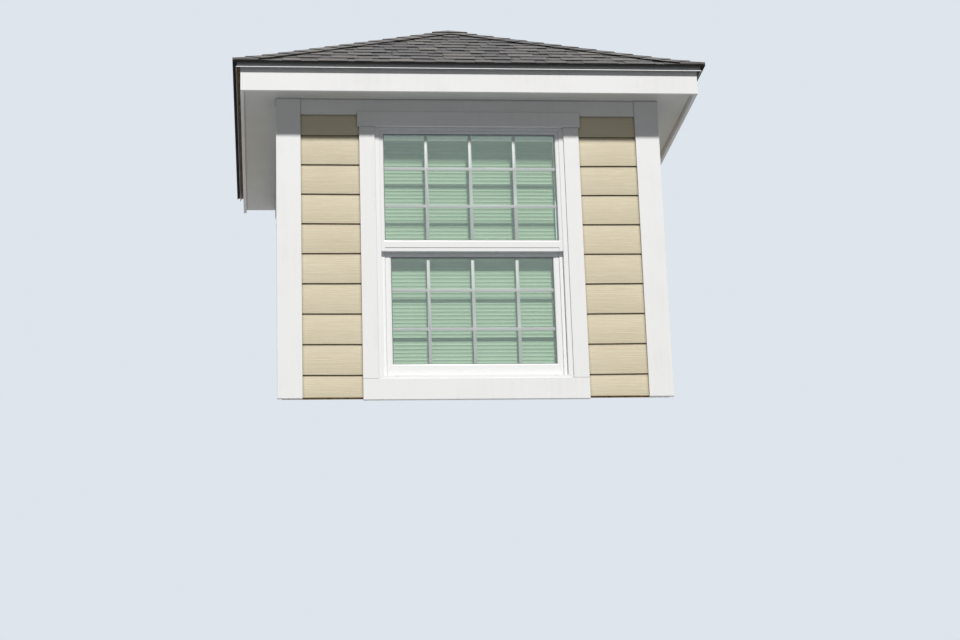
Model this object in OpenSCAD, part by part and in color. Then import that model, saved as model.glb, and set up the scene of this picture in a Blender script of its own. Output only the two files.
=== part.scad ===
// Hipped roof dormer with one single-hung window.
// Origin: middle of the front wall's underside, on the slope of the roof that carries it.
// X runs to the right, Y into the roof, Z up. The seat plane is z = y * seat_rise / pitch_run.

/* [Body] */
// Width across the outer faces of the corner boards
body_w = 2224; // [1900:1:2600]
// Thickness of a framed and sheathed wall
wall_t = 100; // [90:1:150]
// How far the framed walls rise past the edge of the deck
plate_rise = 68; // [60:1:90]
// How far the ceiling's underside lies below the top of the walls
ceiling_drop = 75; // [60:1:140]
// Thickness of the ceiling board
ceiling_t = 13; // [9:1:20]

/* [Roof below] */
// Run for which the rise of either roof is given
pitch_run = 12; // [11:0.5:13]
// Rise of the roof below over that run
seat_rise = 11; // [9:0.5:13]
// Gap kept between the siding and the roof below
seat_gap = 25; // [10:1:40]

/* [Dormer roof] */
// Rise of the dormer's own roof over the same run
roof_rise = 7; // [6:0.25:8]
// Overhang from the corner boards to the face of the fascia
overhang = 201; // [150:1:260]
// Height of the deck's outer edge above the soffit
eave_rise = 121; // [110:1:140]
// Thickness of the roof deck
deck_t = 13; // [11:1:20]
// Thickness of the layer of shingles
shingle_t = 9; // [6:1:14]
// How far the shingles run past the deck
shingle_lip = 26; // [20:1:35]
// Width of a hip or ridge cap on each side of its line
cap_w = 112; // [90:1:150]
// Thickness of the caps
cap_t = 6; // [4:1:9]
// Depth of the rafters
rafter_d = 89; // [70:1:100]
// Thickness of the rafters and of the ridge board
rafter_t = 38; // [30:1:50]
// Distance between rafters
rafter_pitch = 406; // [300:1:450]
// Depth of the ridge board and of the hip rafters
ridge_d = 140; // [110:1:160]

/* [Eave] */
// Thickness of the soffit
soffit_t = 10; // [6:1:13]
// Thickness of the fascia boards
fascia_t = 19; // [16:1:25]
// How far the fascia hangs below the soffit
fascia_drop = 35; // [15:1:50]
// How far the deck stands out from the fascia
drip_out = 18; // [10:1:25]
// Thickness of the bent sheet of the drip edge
drip_t = 1; // [0.6:0.1:1.5]
// Width of the drip edge on the deck
drip_w = 60; // [40:1:80]
// How far the drip edge hangs straight down past the deck
drip_leg = 11; // [6:1:15]
// Height of the drip edge's foot
drip_foot = 13; // [9:1:16]
// How far the drip edge's foot is bent outwards
drip_kick = 6; // [3:1:9]

/* [Trim] */
// Thickness of the corner boards and casings
trim_t = 25; // [19:1:30]
// Width of the corner boards
corner_w = 140; // [90:1:180]
// Height of the foot of the corner boards
corner_z = -44; // [-48:1:-30]
// Width of the casings beside and above the window
casing_w = 89; // [70:1:115]
// Thickness of the head casing
head_t = 30; // [25:1:36]
// How far the head casing runs past the side casings
head_lip = 10; // [0:1:20]
// How far the head casing reaches up over the frieze board
head_lap = 15; // [0:1:25]
// Height of the casing under the window
bottom_h = 121; // [100:1:123]
// Height of the frieze board
frieze_h = 95; // [80:1:110]
// Thickness of the frieze board
frieze_t = 19; // [15:1:22]
// Thickness of the siding
siding_t = 14; // [10:1:16]
// Height of the siding's lower edge on the front
siding_z = -38; // [-44:1:-30]

/* [Window] */
// Width of the window frame
window_w = 1096; // [900:1:1200]
// Height of the window frame
window_h = 1500; // [1300:1:1500]
// Height of the foot of the window frame
window_z = 67; // [67:1:75]
// Gap between the frame and the opening in the wall
fit_gap = 3; // [1:0.5:6]
// How far the frame's face lies behind the casing's face
frame_back = 12; // [6:1:16]
// Depth of the frame from front to back
frame_d = 88; // [80:1:95]
// Width of the outer lip on the frame's sides
lip_w = 27; // [20:1:32]
// Width of the lip at the frame's head
head_lip_h = 20; // [15:1:26]
// Width of the inner step beside the sashes
step_w = 21; // [15:1:26]
// Height of the inner step at the frame's head
step_head = 16; // [10:1:20]
// Height of the sill's front lip
sill_lip = 19; // [14:1:22]
// Height of the inner step at the sill
step_sill = 27; // [23:1:32]
// How much the sill falls towards the front
sill_fall = 5; // [2:1:8]
// Distance of a weep slot from the middle
weep_x = 447; // [350:1:470]
// Width of a weep slot
weep_w = 22; // [16:1:30]
// Height of a weep slot
weep_h = 3; // [2:0.5:4]
// Width of the channel in each jamb that guides the lower sash
channel_w = 16; // [13:1:18]
// Depth of that channel
channel_d = 12; // [10:1:16]
// Thickness of the boards that line the opening
liner_t = 15; // [12:1:20]

/* [Sashes] */
// How far the upper sash lies behind the frame's face
upper_back = 5; // [3:1:8]
// Gap between the planes of the two sashes
track_gap = 6; // [4:1:8]
// Play of the lower sash on each side
side_play = 1; // [0.5:0.5:2]
// Width of the upper sash's stiles
upper_stile = 22; // [18:1:26]
// Height of the upper sash's top rail
upper_rail = 18; // [14:1:24]
// Depth of a sash from front to back
sash_d = 28; // [24:1:30]
// How far the meeting rail's lower edge lies above the window's mid-height
meeting_rise = 1; // [0:1:20]
// Height of the meeting rail
meeting_h = 64; // [50:1:70]
// Height of the lower part of the meeting rail, which stands back
meeting_lip = 21; // [15:1:26]
// How far that lower part stands back
meeting_back = 3; // [2:1:5]
// How far the lower glass ends below the meeting rail
lower_top_drop = 24; // [18:1:30]
// How far the lower sash reaches up behind the meeting rail
sash_lap = 32; // [24:1:40]
// Width of the lower sash's stiles
lower_stile = 33; // [26:1:40]
// Height of the lower sash's bottom rail
bottom_rail_h = 67; // [50:1:80]
// Thickness of one pane of glass
pane_t = 3; // [3:0.5:4]
// Thickness of a sealed pair of panes
unit_t = 18; // [14:1:20]
// Depth of the groove that holds the panes
rebate = 7; // [5:0.5:9]
// Width of the sloping bead round the panes
bead_w = 8; // [5:1:10]
// Thickness that the bead keeps at its edge
bead_edge = 1; // [0.5:0.5:1.5]

/* [Hardware] */
// Distance of a sash lock from the middle
lock_x = 260; // [180:1:320]
// Length of a sash lock
lock_w = 64; // [50:1:80]
// Depth of a sash lock from front to back
lock_d = 22; // [18:1:24]
// Height of a sash lock's base
lock_h = 6; // [5:1:8]
// Diameter of the hub that carries the lever
hub_d = 16; // [12:1:18]
// Length of the lever
lever_l = 44; // [36:1:50]
// Width of the lever
lever_w = 9; // [7:1:11]
// Thickness of the lever
lever_t = 4; // [3:0.5:5]
// Width of the keeper behind the meeting rail
keeper_w = 40; // [30:1:50]
// Height of the keeper
keeper_h = 14; // [10:1:16]
// How far the keeper stands out from the meeting rail
keeper_d = 4; // [3:0.5:5]
// Length of the lift on the lower sash
lift_w = 700; // [400:10:850]
// Height of the lift above the foot of the lower sash
lift_z = 44; // [30:1:55]
// How far the lift stands out into the room
lift_d = 12; // [8:1:15]
// Thickness of the lift
lift_t = 4; // [3:0.5:5]
// How far the lift's edge is turned down
lift_lip = 5; // [3:1:8]
// Width of the bolts and pins that run in the channels
pin_w = 10; // [8:1:12]
// Height of the bolts and pins
pin_h = 8; // [6:1:10]
// How far the bolts and pins stand out from the lower sash
pin_out = 8; // [5:1:9]

/* [Blind] */
// Gap between the blind and the lining on each side
blind_gap = 36; // [4:1:60]
// Height and depth of the blind's headrail
rail_h = 25; // [20:1:30]
// Thickness of the headrail's sheet
rail_t = 1; // [0.6:0.1:2]
// How far the slats stop short of the headrail's ends
slat_short = 3; // [1:0.5:10]
// Width of a slat
slat_w = 25; // [20:1:28]
// Distance between slats
slat_pitch = 22; // [18:0.5:24]
// Tilt of the closed slats, in degrees from flat
slat_tilt = 72; // [60:1:78]
// Height of a slat's arch
slat_arch = 2.2; // [1:0.1:3]
// Thickness of a slat
slat_t = 0.6; // [0.4:0.1:1]
// Height of the bottom rail
foot_h = 14; // [10:1:18]
// Depth of the bottom rail
foot_d = 20; // [14:1:23]
// Distance from the middle to the outer ladders
ladder_x = 360; // [250:5:400]
// Thickness of a ladder's cords
ladder_t = 1.6; // [1:0.1:2]

/* [Hidden] */

seat_tan = seat_rise / pitch_run;
seat_a = atan(seat_tan);
roof_tan = roof_rise / pitch_run;
roof_a = atan(roof_tan);

half = body_w / 2;                    // outer face of the side corner boards
shell = half - trim_t;                // outer face of the sheathing
room = shell - wall_t;                // inner face of the side walls
front_y = -wall_t / 2;                // outer face of the front sheathing
back_y = wall_t / 2;                  // inner face of the front wall
face_y = front_y - trim_t;            // face of the front trim
fascia_x = half + overhang;           // outer face of the side fascias
fascia_y = face_y - overhang;         // outer face of the front fascia
deck_x = fascia_x + drip_out;         // outer edge of the deck
deck_y = fascia_y - drip_out;
tile_x = deck_x + shingle_lip;        // outer edge of the shingles
tile_y = deck_y - shingle_lip;
apex_y = deck_y + deck_x;             // where the two hips meet the ridge
deck_top = deck_t;                    // measured square to the slope
tile_top = deck_t + shingle_t;
hip_cap_w = cap_w * sqrt((2 + roof_tan * roof_tan) / (2 + 2 * roof_tan * roof_tan)); // in plan
ridge_nose = 0.75 * rafter_t;         // how far the ridge board runs in between the hips
front_jacks = floor((fascia_x - fascia_t - ridge_d) / rafter_pitch); // on each side of the middle
side_jacks = floor((apex_y - front_y - ridge_d) / rafter_pitch); // before the hips' meeting
far_y = 2 * body_w;                   // past the rear end of every piece
tall = 2 * body_w;                    // past the top of every piece
deep = -2 * wall_t;                   // below the foot of every piece
cut = 1;                              // how far a cut runs past a face
diagonal = sqrt(2);                   // of a square with sides of one

win_x = window_w / 2;
win_top = window_z + window_h;
frieze_z = win_top + casing_w - head_lap;
soffit_z = frieze_z + frieze_h;       // underside of the soffit
fascia_z = soffit_z - fascia_drop;
eave_z = soffit_z + eave_rise;        // underside of the deck at its outer edge
wall_top = eave_z + plate_rise;
valley_y = (eave_z + deck_x * roof_tan) / seat_tan; // where the ridge meets the roof below
side_rafters = floor((valley_y - apex_y - ridge_d) / rafter_pitch); // behind the hips
ceiling_z = wall_top - ceiling_drop;
open_x = win_x + fit_gap;             // half width of the opening in the wall
open_top = win_top + fit_gap;
blind_x = open_x - liner_t - blind_gap;
frame_y = face_y + frame_back;        // face of the window frame
frame_back_y = frame_y + frame_d;
blind_mid = frame_back_y + rail_h / 2;
blind_top = open_top - liner_t - rail_h; // underside of the headrail
blind_foot = window_z + liner_t;      // where the bottom rail stands
foot_edge = foot_h / 5;               // cut off the bottom rail's corners
slat_r = slat_w * slat_w / (8 * slat_arch) + slat_arch / 2; // radius of a slat's arch
slat_out = slat_w / 2 * cos(slat_tilt); // from the middle to a closed slat's edge
slat_count = floor((blind_top - blind_foot - foot_h - slat_w / 2) / slat_pitch);
sash_x = win_x - lip_w;               // inner side of the frame's lip
step_x = sash_x - step_w;             // inner side of the frame's step
sash_top = win_top - head_lip_h;
step_top = sash_top - step_head;
sill_z = window_z + sill_lip;         // top of the sill's front lip
step_z = window_z + step_sill;        // where the lower sash rests
upper_y = frame_y + upper_back;       // face of the upper sash
step_y = upper_y + sash_d;            // face of the frame's step
lower_y = step_y + track_gap;         // face of the lower sash
lower_mid = lower_y + sash_d / 2;     // middle of the lower sash's depth
rail_z = window_z + window_h / 2 + meeting_rise; // lower edge of the meeting rail
upper_x = sash_x - upper_stile;       // clear half width of the upper glass
upper_z = rail_z + meeting_h;         // lower edge of the upper glass
upper_top = sash_top - upper_rail;    // upper edge of the upper glass
lower_edge_x = step_x - side_play;    // outer side of the lower sash
lower_x = lower_edge_x - lower_stile; // clear half width of the lower glass
lower_z = step_z + bottom_rail_h;
lower_top = rail_z - lower_top_drop;  // upper edge of the lower glass
lower_sash_top = rail_z + sash_lap;
bead_d = (sash_d - unit_t) / 2 - bead_edge; // depth of the bead's slope

trim_white = [0.93, 0.93, 0.91];
siding_tan = [0.72, 0.66, 0.54];
slate_grey = [0.24, 0.25, 0.27];
timber = [0.78, 0.62, 0.42];
board = [0.70, 0.58, 0.40];
plaster = [0.90, 0.89, 0.86];
vinyl = [0.95, 0.95, 0.94];
glass = [0.55, 0.68, 0.66, 0.4];
slat = [0.80, 0.84, 0.78];

// A block given by its two opposite corners
module block(low, high) {
    translate(low) cube([high[0] - low[0], high[1] - low[1], high[2] - low[2]]);
}

// Keeps what stands above the roof below, lifted by a gap
module on_seat(gap = 0) {
    difference() {
        children();
        translate([0, 0, gap]) rotate([seat_a, 0, 0])
            translate([-far_y, -far_y, -far_y]) cube([2 * far_y, 3 * far_y, far_y]);
    }
}

// The same piece on the right-hand side
module to_right() {
    mirror([1, 0, 0]) children();
}

// A flat layer under or over the front slope, measured square to it from the deck's underside
module front_layer(low, thick) {
    translate([0, deck_y, eave_z]) rotate([roof_a, 0, 0])
        translate([-far_y, -far_y / 4, low]) cube([2 * far_y, far_y, thick]);
}

// A flat layer under or over the left slope
module left_layer(low, thick) {
    translate([-deck_x, 0, eave_z]) rotate([0, -roof_a, 0])
        translate([-far_y / 4, -far_y / 2, low]) cube([far_y, 2 * far_y, thick]);
}

// Upright prism over the plan of the front slope, out to the eave line x = edge
module front_plan(edge) {
    eave = deck_y - (edge - deck_x);
    linear_extrude(height = tall)
        polygon([[-edge, eave], [edge, eave], [0, eave + edge]]);
}

// Upright prism over the plan of the left slope
module left_plan(edge) {
    eave = deck_y - (edge - deck_x);
    linear_extrude(height = tall)
        polygon([[-edge, eave], [0, eave + edge], [0, far_y], [-edge, far_y]]);
}

// Upright prism along the left hip, half as wide as given on each side
module hip_plan(w, edge) {
    translate([0, apex_y, 0]) rotate([0, 0, -135]) translate([-w, -w, 0])
        cube([2 * w, (edge + w) * diagonal, tall]);
}

module front_wall() {
    color(board) on_seat() difference() {
        block([-shell, front_y, deep], [shell, back_y, wall_top]);
        block([-open_x, front_y - cut, window_z], [open_x, back_y + cut, open_top]);
    }
}

module left_wall() {
    color(board) on_seat()
        block([-shell, back_y, deep], [-room, far_y, wall_top]);
}

module right_wall() {
    to_right() left_wall();
}

module ceiling() {
    color(plaster) on_seat()
        block([-room, back_y, ceiling_z], [room, far_y, ceiling_z + ceiling_t]);
}

module front_siding_left() {
    color(siding_tan)
        block([-half + corner_w, front_y - siding_t, siding_z],
            [-win_x - casing_w, front_y, frieze_z]);
}

module front_siding_right() {
    to_right() front_siding_left();
}

module left_siding() {
    color(siding_tan) on_seat(seat_gap)
        block([-shell - siding_t, face_y + corner_w, deep],
            [-shell, far_y, frieze_z]);
}

module right_siding() {
    to_right() left_siding();
}

module front_corner_board_left() {
    color(trim_white)
        block([-half, face_y, corner_z], [-half + corner_w, front_y, soffit_z]);
}

module front_corner_board_right() {
    to_right() front_corner_board_left();
}

module side_corner_board_left() {
    color(trim_white) on_seat(seat_gap)
        block([-half, front_y, deep], [-shell, face_y + corner_w, soffit_z]);
}

module side_corner_board_right() {
    to_right() side_corner_board_left();
}

module front_frieze() {
    color(trim_white) difference() {
        block([-half + corner_w, front_y - frieze_t, frieze_z],
            [half - corner_w, front_y, soffit_z]);
        head_block();
    }
}

module side_friezes() {
    color(trim_white) on_seat() for (side = [0, 1]) mirror([side, 0, 0])
        block([-shell - frieze_t, face_y + corner_w, frieze_z],
            [-shell, far_y, soffit_z]);
}

module head_block() {
    block([-win_x - casing_w - head_lip, front_y - head_t, win_top],
        [win_x + casing_w + head_lip, front_y, win_top + casing_w]);
}

module head_casing() {
    color(trim_white) head_block();
}

module left_casing() {
    color(trim_white)
        block([-win_x - casing_w, face_y, window_z], [-win_x, front_y, win_top]);
}

module right_casing() {
    to_right() left_casing();
}

module bottom_casing() {
    color(trim_white)
        block([-win_x - casing_w, face_y, window_z - bottom_h],
            [win_x + casing_w, front_y, window_z]);
}

// Frame of extruded plastic: an outer lip, an inner step and a sill that falls to the front
module window_frame() {
    color(vinyl) {
        difference() {
            block([-win_x, frame_y, window_z], [win_x, frame_back_y, win_top]);
            block([-sash_x, frame_y - cut, sill_z], [sash_x, step_y, sash_top]);
            block([-step_x, step_y - cut, step_z], [step_x, frame_back_y + cut, step_top]);
            // the channels that the lower sash's bolts and pins run in
            block([-step_x - channel_d, lower_mid - channel_w / 2, step_z],
                [step_x + channel_d, lower_mid + channel_w / 2, step_top]);
            sill_slope();
            for (side = [-1, 1])
                weep_slot(side * weep_x);
        }
    }
}

// What is taken off the sill so that it sheds water
module sill_slope() {
    translate([-sash_x, 0, 0]) rotate([90, 0, 90])
        linear_extrude(height = 2 * sash_x)
            polygon([[upper_y, sill_z + cut], [upper_y, sill_z - sill_fall],
                [step_y, sill_z], [step_y, sill_z + cut]]);
}

// A slot through the sill's front lip, at the foot of the slope behind it
module weep_slot(x) {
    foot = sill_z - sill_fall;
    block([x - weep_w / 2, frame_y - cut, foot], [x + weep_w / 2, upper_y + cut, foot + weep_h]);
}

// What a bead's slope takes off round an opening that runs from z0 to z1
module bead_slope(clear_x, z0, z1, y) {
    out = bead_w * (bead_d + cut) / bead_d; // how far it has spread a little outside the face
    intersection() {
        translate([0, 0, z0 - out]) linear_extrude(height = z1 - z0 + 2 * out)
            polygon([[-clear_x - out, y - cut], [clear_x + out, y - cut],
                [clear_x, y + bead_d], [-clear_x, y + bead_d]]);
        translate([-clear_x - out, 0, 0]) rotate([90, 0, 90])
            linear_extrude(height = 2 * (clear_x + out))
                polygon([[y - cut, z0 - out], [y + bead_d, z0], [y + bead_d, z1],
                    [y - cut, z1 + out]]);
    }
}

// A sash: four bars with a groove for its panes and a sloping bead on both faces
module sash(x, z0, z1, clear_x, clear_z0, clear_z1, y, depth) {
    pane_y = y + (depth - unit_t) / 2;
    difference() {
        block([-x, y, z0], [x, y + depth, z1]);
        block([-clear_x, y - cut, clear_z0], [clear_x, y + depth + cut, clear_z1]);
        block([-clear_x - rebate, pane_y, clear_z0 - rebate],
            [clear_x + rebate, pane_y + unit_t, clear_z1 + rebate]);
        for (back = [0, 1])
            translate([0, back * (2 * y + depth), 0]) mirror([0, back, 0])
                bead_slope(clear_x, clear_z0, clear_z1, y);
    }
}

// The two panes of a sealed unit
module panes(clear_x, clear_z0, clear_z1, y, depth) {
    pane_y = y + (depth - unit_t) / 2;
    for (near = [0, unit_t - pane_t])
        block([-clear_x - rebate, pane_y + near, clear_z0 - rebate],
            [clear_x + rebate, pane_y + near + pane_t, clear_z1 + rebate]);
}

module upper_sash() {
    color(vinyl) {
        difference() {
            sash(sash_x, rail_z, sash_top, upper_x, upper_z, upper_top, upper_y, sash_d);
            // the lower part of the meeting rail stands back a little
            block([-upper_x, upper_y - cut, rail_z - cut],
                [upper_x, upper_y + meeting_back, rail_z + meeting_lip]);
        }
        for (side = [-1, 1])
            keeper(side * lock_x);
    }
}

// The plate behind the meeting rail that a lock catches
module keeper(x) {
    block([x - keeper_w / 2, step_y, lower_sash_top], [x + keeper_w / 2, step_y + keeper_d,
        lower_sash_top + keeper_h]);
}

module lower_sash() {
    color(vinyl) {
        sash(lower_edge_x, step_z, lower_sash_top, lower_x, lower_z, lower_top,
            lower_y, sash_d);
        for (side = [-1, 1])
            sash_lock(side * lock_x);
        sash_lift();
        sash_pins();
    }
}

// A lock on top of the lower sash: its base, its hub and its lever, turned shut
module sash_lock(x) {
    translate([x, lower_mid, lower_sash_top]) {
        block([-lock_w / 2, -lock_d / 2, 0], [lock_w / 2, lock_d / 2, lock_h]);
        cylinder(h = lock_h + lever_t, d = hub_d, $fn = 32);
        block([0, -lever_w / 2, lock_h], [lever_l, lever_w / 2, lock_h + lever_t]);
    }
}

// A ledge with its edge turned down, which fingers lift the lower sash by
module sash_lift() {
    back = lower_y + sash_d;
    top = step_z + lift_z;
    translate([-lift_w / 2, 0, 0]) rotate([90, 0, 90]) linear_extrude(height = lift_w)
        polygon([[back, top], [back, top - lift_t], [back + lift_d - lift_t, top - lift_t],
            [back + lift_d - lift_t, top - lift_t - lift_lip],
            [back + lift_d, top - lift_t - lift_lip], [back + lift_d, top]]);
}

// The latch bolts near the top of the lower sash and the pivot pins near its foot
module sash_pins() {
    for (z = [step_z + pin_h, lower_sash_top - 2 * pin_h])
        block([-lower_edge_x - pin_out, lower_mid - pin_w / 2, z],
            [lower_edge_x + pin_out, lower_mid + pin_w / 2, z + pin_h]);
}

module upper_glass() {
    color(glass) panes(upper_x, upper_z, upper_top, upper_y, sash_d);
}

module lower_glass() {
    color(glass) panes(lower_x, lower_z, lower_top, lower_y, sash_d);
}

// Boards that line the opening between the frame and the room
module window_liner() {
    color(trim_white) difference() {
        block([-open_x, frame_back_y, window_z], [open_x, back_y, open_top]);
        block([-open_x + liner_t, frame_back_y - cut, window_z + liner_t],
            [open_x - liner_t, back_y + cut, open_top - liner_t]);
    }
}

// A channel of thin sheet, open at the top.
module blind_headrail() {
    color(slat) difference() {
        block([-blind_x, frame_back_y, blind_top], [blind_x, frame_back_y + rail_h, blind_top + rail_h]);
        block([-blind_x + rail_t, frame_back_y + rail_t, blind_top + rail_t],
            [blind_x - rail_t, frame_back_y + rail_h - rail_t, blind_top + rail_h + cut]);
    }
}

// Cross-section of one closed slat: an arched strip, tilted.
module slat_section() {
    rotate(-slat_tilt) intersection() {
        translate([0, slat_arch - slat_r]) difference() {
            circle(r = slat_r, $fn = 64);
            circle(r = slat_r - slat_t, $fn = 64);
        }
        square([slat_w, 4 * slat_arch], center = true);
    }
}

// Closed slats, the ladders that carry them and the bottom rail.
module blind_slats() {
    color(slat) translate([0, blind_mid, 0]) {
        for (i = [1 : slat_count])
            bar(blind_x - slat_short) translate([0, blind_top - i * slat_pitch]) slat_section();
        for (x = [-ladder_x, 0, ladder_x], side = [-1, 1])
            block([x - ladder_t / 2, side * slat_out - ladder_t / 2, blind_foot + foot_h - cut],
                [x + ladder_t / 2, side * slat_out + ladder_t / 2, blind_top]);
        bar(blind_x - slat_short) translate([0, blind_foot + foot_h / 2])
            chamfered(foot_d, foot_h, foot_edge);
    }
}

// Lays a cross-section in Y and Z along X, as far to the left as to the right.
module bar(reach) {
    rotate([90, 0, 90]) translate([0, 0, -reach]) linear_extrude(2 * reach) children();
}

// Rectangle about the origin with its corners cut off.
module chamfered(w, h, edge) {
    x = w / 2;
    y = h / 2;
    polygon([[-x, -y + edge], [-x + edge, -y], [x - edge, -y], [x, -y + edge],
        [x, y - edge], [x - edge, y], [-x + edge, y], [-x, y - edge]]);
}

module front_soffit() {
    color(trim_white)
        block([-fascia_x + fascia_t, fascia_y + fascia_t, soffit_z],
            [fascia_x - fascia_t, front_y, soffit_z + soffit_t]);
}

module left_soffit() {
    color(trim_white) on_seat()
        block([-fascia_x + fascia_t, front_y, soffit_z], [-shell, far_y, soffit_z + soffit_t]);
}

module right_soffit() {
    to_right() left_soffit();
}

module front_fascia() {
    color(trim_white)
        block([-fascia_x, fascia_y, fascia_z], [fascia_x, fascia_y + fascia_t, eave_z]);
}

module left_fascia() {
    color(trim_white) on_seat()
        block([-fascia_x, fascia_y + fascia_t, fascia_z], [-fascia_x + fascia_t, far_y, eave_z]);
}

module right_fascia() {
    to_right() left_fascia();
}

// Section of the bent drip edge: outwards from the deck's edge, and up from its underside
module drip_section() {
    rise = drip_w * roof_tan;
    low = deck_t / cos(roof_a);            // top of the deck at its edge
    high = (deck_t + drip_t) / cos(roof_a);
    polygon([[-drip_w, rise + low], [0, low], [0, -drip_leg],
        [drip_kick, -drip_leg - drip_foot], [drip_kick + drip_t, -drip_leg - drip_foot],
        [drip_t, -drip_leg], [drip_t, high - drip_t * roof_tan], [-drip_w, rise + high]]);
}

// The drip edge along the front, mitred at both hips
module front_drip() {
    intersection() {
        translate([far_y / 2, deck_y, eave_z]) rotate([90, 0, -90])
            linear_extrude(height = far_y) drip_section();
        front_plan(tile_x);
    }
}

// The drip edge along the left eave, mitred at the hip
module left_drip() {
    intersection() {
        translate([-deck_x, deck_y - far_y / 2, eave_z]) rotate([90, 0, 180])
            linear_extrude(height = 2 * far_y) drip_section();
        left_plan(tile_x);
    }
}

module drip_edge() {
    color(trim_white) on_seat() {
        front_drip();
        left_drip();
        to_right() left_drip();
    }
}

module front_deck() {
    color(board) intersection() {
        front_layer(0, deck_t);
        front_plan(deck_x);
    }
}

module left_deck() {
    color(board) on_seat() intersection() {
        left_layer(0, deck_t);
        left_plan(deck_x);
    }
}

module right_deck() {
    to_right() left_deck();
}

module front_shingles() {
    color(slate_grey) difference() {
        intersection() {
            front_layer(deck_top, shingle_t);
            front_plan(tile_x);
        }
        front_drip();
    }
}

module left_shingles() {
    color(slate_grey) on_seat() difference() {
        intersection() {
            left_layer(deck_top, shingle_t);
            left_plan(tile_x);
        }
        left_drip();
    }
}

module right_shingles() {
    to_right() left_shingles();
}

// Caps over the left hip and the left half of the ridge
module left_caps() {
    intersection() {
        front_layer(tile_top, cap_t);
        front_plan(tile_x);
        hip_plan(hip_cap_w, tile_x);
    }
    intersection() {
        left_layer(tile_top, cap_t);
        left_plan(tile_x);
        union() {
            hip_plan(hip_cap_w, tile_x);
            block([-cap_w * cos(roof_a), apex_y, 0], [0, far_y, tall]);
        }
    }
}

module roof_caps() {
    color(slate_grey) on_seat() {
        left_caps();
        to_right() left_caps();
    }
}

// The ridge board runs back from the meeting of the hips
module ridge_board() {
    color(timber) on_seat()
        intersection() {
            ridge_plan();
            under_ridge();
            front_layer(-tall, tall);
        }
}

// The ridge board's plan, with its nose between the two hips
module ridge_plan() {
    block([-rafter_t / 2, apex_y - ridge_nose, 0], [rafter_t / 2, far_y, tall]);
}

module under_ridge() {
    top = eave_z + (deck_x - rafter_t / 2) * roof_tan;
    block([-rafter_t, 0, top - ridge_d], [rafter_t, far_y, top]);
}

// A hip rafter stands under its hip, with its top edges bevelled to both slopes
module left_hip_rafter() {
    hip_a = atan(roof_tan / diagonal);
    run = (deck_x - drip_out - fascia_t) * diagonal;
    difference() {
        intersection() {
            translate([0, apex_y, eave_z + deck_x * roof_tan])
                rotate([0, 0, 135]) rotate([-hip_a, 0, 0])
                    translate([-rafter_t / 2, 0, -ridge_d]) cube([rafter_t, 2 * run, ridge_d]);
            front_layer(-tall, tall);
            left_layer(-tall, tall);
            block([-fascia_x + fascia_t, fascia_y + fascia_t, soffit_z + soffit_t],
                [0, far_y, tall]);
        }
        ridge_plan();
        block([-shell, front_y, 0], [shell, back_y, wall_top]);
        block([-shell, front_y, 0], [-room, far_y, wall_top]);
    }
}

module hip_rafters() {
    color(timber) {
        left_hip_rafter();
        to_right() left_hip_rafter();
    }
}

// What every common rafter gives way to: the walls, the hips and the ridge
module rafter_cuts() {
    block([-shell, front_y, 0], [shell, back_y, wall_top]);
    block([-shell, front_y, 0], [-room, far_y, wall_top]);
    block([room, front_y, 0], [shell, far_y, wall_top]);
    ridge_plan();
    hip_plan(rafter_t / 2, tile_x);
    to_right() hip_plan(rafter_t / 2, tile_x);
}

module front_rafters() {
    color(timber) difference() {
        intersection() {
            front_layer(-rafter_d, rafter_d);
            front_plan(deck_x);
            for (k = [-front_jacks:front_jacks])
                translate([k * rafter_pitch, 0, 0])
                    block([-rafter_t / 2, fascia_y + fascia_t, 0], [rafter_t / 2, far_y, tall]);
        }
        rafter_cuts();
    }
}

module left_rafters() {
    color(timber) on_seat() difference() {
        intersection() {
            left_layer(-rafter_d, rafter_d);
            left_plan(deck_x);
            for (k = [-side_jacks:side_rafters])
                translate([0, apex_y + k * rafter_pitch, 0])
                    block([-fascia_x + fascia_t, -rafter_t / 2, 0], [0, rafter_t / 2, tall]);
        }
        rafter_cuts();
    }
}

module right_rafters() {
    to_right() left_rafters();
}

front_wall();
left_wall();
right_wall();
ceiling();
front_siding_left();
front_siding_right();
left_siding();
right_siding();
front_corner_board_left();
front_corner_board_right();
side_corner_board_left();
side_corner_board_right();
front_frieze();
side_friezes();
head_casing();
left_casing();
right_casing();
bottom_casing();
window_frame();
upper_sash();
lower_sash();
upper_glass();
lower_glass();
window_liner();
blind_headrail();
blind_slats();
front_soffit();
left_soffit();
right_soffit();
front_fascia();
left_fascia();
right_fascia();
drip_edge();
front_deck();
left_deck();
right_deck();
front_shingles();
left_shingles();
right_shingles();
roof_caps();
ridge_board();
hip_rafters();
front_rafters();
left_rafters();
right_rafters();
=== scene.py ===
import math
import random

import bmesh
import bpy
from mathutils import Matrix, Vector


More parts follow.
